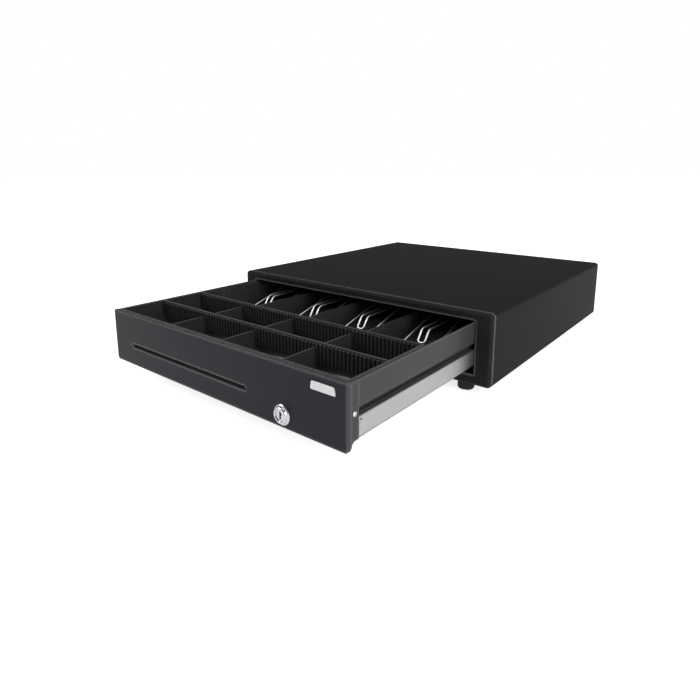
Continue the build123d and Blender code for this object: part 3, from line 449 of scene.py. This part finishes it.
# ------------------------------------------------------------------ screws and contacts
def cross_head_screw(radius, height, shank, length):
    """A domed screw with a tapered cross recess, its head standing on the origin."""
    clear_selection()
    bpy.ops.mesh.primitive_cylinder_add(
        vertices=32, radius=radius, depth=height * 0.4, location=(0, 0, height * 0.2)
    )
    head = begin("screw")
    bpy.ops.object.mode_set(mode="OBJECT")
    bpy.ops.object.transform_apply(location=True, rotation=True, scale=True)
    bpy.ops.object.mode_set(mode="EDIT")
    choose(head, lambda middle, normal: normal.z > 0.9)
    for step, lift in ((0.12, 0.24), (0.2, 0.2), (0.3, 0.12)):
        bpy.ops.mesh.inset(thickness=radius * step)
        bpy.ops.transform.translate(value=(0, 0, height * lift))
    choose(head, lambda middle, normal: normal.z < -0.9)
    bpy.ops.mesh.inset(thickness=radius - shank)
    bpy.ops.mesh.extrude_region_move(TRANSFORM_OT_translate={"value": (0, 0, -length)})
    bpy.ops.object.mode_set(mode="OBJECT")
    for turn in (0, 90):
        clear_selection()
        bpy.ops.mesh.primitive_cube_add(
            size=1,
            location=(0, 0, height),
            rotation=(0, 0, radians(turn)),
            scale=(radius * 1.15, radius * 0.28, height * 1.1),
        )
        cutter = begin("cutter")
        choose(cutter, lambda middle, normal: normal.z < -0.9)
        bpy.ops.transform.resize(value=(0.5, 0.5, 1.0))
        bpy.ops.object.mode_set(mode="OBJECT")
        recess = head.modifiers.new("recess", "BOOLEAN")
        recess.object = cutter
        bpy.context.view_layer.objects.active = head
        bpy.ops.object.modifier_apply(modifier="recess")
        bpy.data.objects.remove(cutter)
    bpy.context.view_layer.objects.active = head
    return head


REAR_HEAD = 0.0015
REAR_SIDE_X = 0.198
REAR_SIDE_ZS = (0.038, 0.08)
REAR_TOP_X = 0.1
REAR_TOP_Z = 0.093
rear_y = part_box("rear_screws")[1].y - REAR_HEAD
rear_places = [(x, rear_y, z) for x in (-REAR_SIDE_X, REAR_SIDE_X) for z in REAR_SIDE_ZS]
rear_places += [(x, rear_y, REAR_TOP_Z) for x in (-REAR_TOP_X, REAR_TOP_X)]
rear_screw = cross_head_screw(0.003, REAR_HEAD, 0.0014, 0.004)
rear = laid_out("rear_cross_heads", rear_screw, rear_places, (-90, 0, 0))
settle(rear, 40.0)
dress(rear, "screw_steel", "housing", "rear_screws")

CORNER_HEAD = 0.001
corner_low, corner_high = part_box("corner_screws")
corner_y = (corner_low.y + corner_high.y) / 2
corner_z = (corner_low.z + corner_high.z) / 2
corner_heads = []
for side, outer in ((-1, corner_low.x), (1, corner_high.x)):
    corner_heads.append(
        laid_out(
            "corner_cross_head",
            cross_head_screw(0.0024, CORNER_HEAD, 0.0014, 0.0035),
            [(outer - side * CORNER_HEAD, corner_y, corner_z)],
            (0, side * 90, 0),
        )
    )
corner = joined("corner_cross_heads", corner_heads)
settle(corner, 40.0)
dress(corner, "screw_steel", "drawer", "corner_screws")

FOOT_HEAD = 0.0026
FOOT_HEAD_RADIUS = 0.004
foot_low, foot_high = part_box("foot_screws")
foot_z = foot_low.z + FOOT_HEAD
foot_places = [
    (x, y, foot_z)
    for x in (foot_low.x + FOOT_HEAD_RADIUS, foot_high.x - FOOT_HEAD_RADIUS)
    for y in (foot_low.y + FOOT_HEAD_RADIUS, foot_high.y - FOOT_HEAD_RADIUS)
]
foot_screw = cross_head_screw(FOOT_HEAD_RADIUS, FOOT_HEAD, 0.0019, 0.0078)
feet = laid_out("foot_cross_heads", foot_screw, foot_places, (180, 0, 0))
settle(feet, 40.0)
dress(feet, "screw_steel", "housing", "foot_screws")


def contact_strip():
    """A spring contact of the cable socket: a thin strip that slopes down from the mouth."""
    clear_selection()
    bpy.ops.mesh.primitive_cube_add(size=1, scale=(0.00045, 0.0012, 0.0003))
    strip = begin("contact")

    def at_tip(middle, normal):
        return middle.y == min(face.center.y for face in strip.data.polygons)

    for run in ((0, -0.003, 0.0), (0, -0.004, -0.0016), (0, -0.0015, -0.0004)):
        choose(strip, at_tip)
        bpy.ops.mesh.extrude_region_move(TRANSFORM_OT_translate={"value": run})
    bpy.ops.object.mode_set(mode="OBJECT")
    return strip


CONTACTS = 6
CONTACT_PITCH = 0.00127
socket_low, socket_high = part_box("cable_socket")
socket_x = (socket_low.x + socket_high.x) / 2
contact_y = socket_high.y - 0.0015
contact_z = socket_high.z - 0.0036
contact_places = [
    (socket_x + CONTACT_PITCH * (n - (CONTACTS - 1) / 2), contact_y, contact_z)
    for n in range(CONTACTS)
]
contacts = laid_out("socket_contacts", contact_strip(), contact_places)
settle(contacts, 30.0)
dress(contacts, "cage_brass", "housing")

# ------------------------------------------------------------------ note clips
WIRE_RADIUS = 0.0011
ROD_Z = 0.077
WIRE_SEAT = 0.0026
BAIL_KNEE_BACK = 0.064
BAIL_BEND = 0.0045
LOOP_HALF = 0.0046
LOOP_SETBACK = 0.0105
LOOP_KNEE_BACK = 0.0095
LOOP_KNEE_Z = 0.074
LOOP_LOW = 0.0605
LOOP_BEND = 0.0034
for number in range(1, 5):
    clip_low, clip_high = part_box(f"note_clip_{number}")
    hub_low, hub_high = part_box(f"clip_hub_{number}")
    middle = (clip_low.x + clip_high.x) / 2
    rod_y = (hub_low.y + hub_high.y) / 2
    start_y = rod_y - WIRE_SEAT
    bail_half = (clip_high.x - clip_low.x) / 2 - WIRE_RADIUS
    bail_front = clip_low.y + WIRE_RADIUS
    bail_low = clip_low.z + WIRE_RADIUS
    bail = bent_wire(
        f"bail_{number}",
        [
            (middle - bail_half, start_y, ROD_Z),
            (middle - bail_half, bail_front + BAIL_KNEE_BACK, ROD_Z),
            (middle - bail_half, bail_front, bail_low),
            (middle + bail_half, bail_front, bail_low),
            (middle + bail_half, bail_front + BAIL_KNEE_BACK, ROD_Z),
            (middle + bail_half, start_y, ROD_Z),
        ],
        WIRE_RADIUS,
        BAIL_BEND,
    )
    loop_front = bail_front + LOOP_SETBACK
    loop = bent_wire(
        f"loop_{number}",
        [
            (middle - LOOP_HALF, start_y, ROD_Z),
            (middle - LOOP_HALF, loop_front + LOOP_KNEE_BACK, LOOP_KNEE_Z),
            (middle - LOOP_HALF, loop_front, LOOP_LOW),
            (middle + LOOP_HALF, loop_front, LOOP_LOW),
            (middle + LOOP_HALF, loop_front + LOOP_KNEE_BACK, LOOP_KNEE_Z),
            (middle + LOOP_HALF, start_y, ROD_Z),
        ],
        WIRE_RADIUS,
        LOOP_BEND,
    )
    clip = joined(f"wire_clip_{number}", [bail, loop])
    dress(clip, "wire_chrome", f"clip_{number}", f"note_clip_{number}")


# ------------------------------------------------------------------ springs
def wound_spring(name, coil_radius, wire_radius, length, turns):
    """A helical spring along +Z from the origin."""
    clear_selection()
    bpy.ops.mesh.primitive_circle_add(vertices=10, radius=wire_radius, fill_type="NOTHING")
    spring = begin(name)
    bpy.ops.mesh.select_all(action="SELECT")
    bpy.ops.transform.rotate(
        value=radians(90), orient_axis="X", center_override=(0, 0, 0)
    )
    bpy.ops.transform.translate(value=(coil_radius, 0, 0))
    bpy.ops.object.mode_set(mode="OBJECT")
    winding = spring.modifiers.new("winding", "SCREW")
    winding.axis = "Z"
    winding.iterations = turns
    winding.screw_offset = length / turns
    winding.steps = 20
    winding.render_steps = 20
    bpy.ops.object.modifier_apply(modifier="winding")
    bpy.ops.object.mode_set(mode="EDIT")
    bpy.ops.mesh.select_all(action="DESELECT")
    bpy.ops.mesh.select_non_manifold()
    bpy.ops.mesh.fill_holes(sides=0)
    bpy.ops.object.mode_set(mode="OBJECT")
    return spring


spring_low, spring_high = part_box("eject_spring")
EJECT_WIRE = 0.0007
eject_length = spring_high.y - spring_low.y - 2 * EJECT_WIRE
eject = wound_spring("eject_coil", 0.0058, EJECT_WIRE, eject_length, 8)
eject.rotation_euler = (radians(-90), 0, 0)
eject.location = (
    (spring_low.x + spring_high.x) / 2,
    spring_low.y + EJECT_WIRE,
    (spring_low.z + spring_high.z) / 2,
)
settle(eject, 60.0)
dress(eject, "spring_steel", "housing", "eject_spring")
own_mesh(eject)

spring_low, spring_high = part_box("latch_spring")
LATCH_WIRE = 0.0005
latch_length = spring_high.x - spring_low.x - 2 * LATCH_WIRE
latch = wound_spring("latch_coil", 0.0056, LATCH_WIRE, latch_length, 5)
latch.rotation_euler = (0, radians(90), 0)
latch.location = (
    spring_low.x + LATCH_WIRE,
    (spring_low.y + spring_high.y) / 2,
    (spring_low.z + spring_high.z) / 2,
)
settle(latch, 60.0)
dress(latch, "spring_steel", "housing", "latch_spring")
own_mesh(latch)

# ------------------------------------------------------------------ floor and light
clear_selection()
ROOM_LIGHT = 0.32
FLOOR_GLOW = 0.78
bpy.ops.mesh.primitive_grid_add(x_subdivisions=2, y_subdivisions=2, size=30.0, location=(0, 2.0, 0))
floor = bpy.context.object
floor.name = "floor"
bpy.ops.object.transform_apply(location=True, rotation=True, scale=True)
paper = Finish("pale floor", (0.8, 0.8, 0.8), 0.9, Specular_IOR_Level=0.0)
paper.put("Emission Color", (1.0, 1.0, 1.0, 1.0))
paper.put("Emission Strength", FLOOR_GLOW)
paper.put("Roughness", 0.85 + paper.noise(0.02, 3.0) * 0.06)
floor.data.materials.append(paper.material)


def softbox(name, place, target, size, power):
    """A large square lamp aimed at a point."""
    bpy.ops.object.light_add(type="AREA", location=place)
    lamp = bpy.context.object
    lamp.name = name
    lamp.data.shape = "SQUARE"
    lamp.data.size = size
    lamp.data.energy = power
    aim = Vector(target) - Vector(place)
    lamp.rotation_euler = aim.to_track_quat("-Z", "Y").to_euler()


middle_of_object = (cad_low + cad_high) / 2
softbox("right softbox", (2.2, -0.7, 1.1), middle_of_object, 1.6, 38)
softbox("left softbox", (-1.8, -1.9, 1.5), middle_of_object, 1.6, 34)
softbox("overhead softbox", (0.1, 0.6, 2.4), middle_of_object, 2.0, 14)

world = bpy.data.worlds.new("studio")
scene.world = world
world.use_nodes = True
sky = world.node_tree
backdrop = sky.nodes["Background"]
backdrop.inputs["Color"].default_value = (1.0, 1.0, 1.0, 1.0)
seen = sky.nodes.new("ShaderNodeLightPath")
fill = sky.nodes.new("ShaderNodeMapRange")
fill.inputs["To Min"].default_value = ROOM_LIGHT
fill.inputs["To Max"].default_value = 1.0
sky.links.new(seen.outputs["Is Camera Ray"], fill.inputs["Value"])
sky.links.new(fill.outputs["Result"], backdrop.inputs["Strength"])
scene.view_settings.view_transform = "Standard"
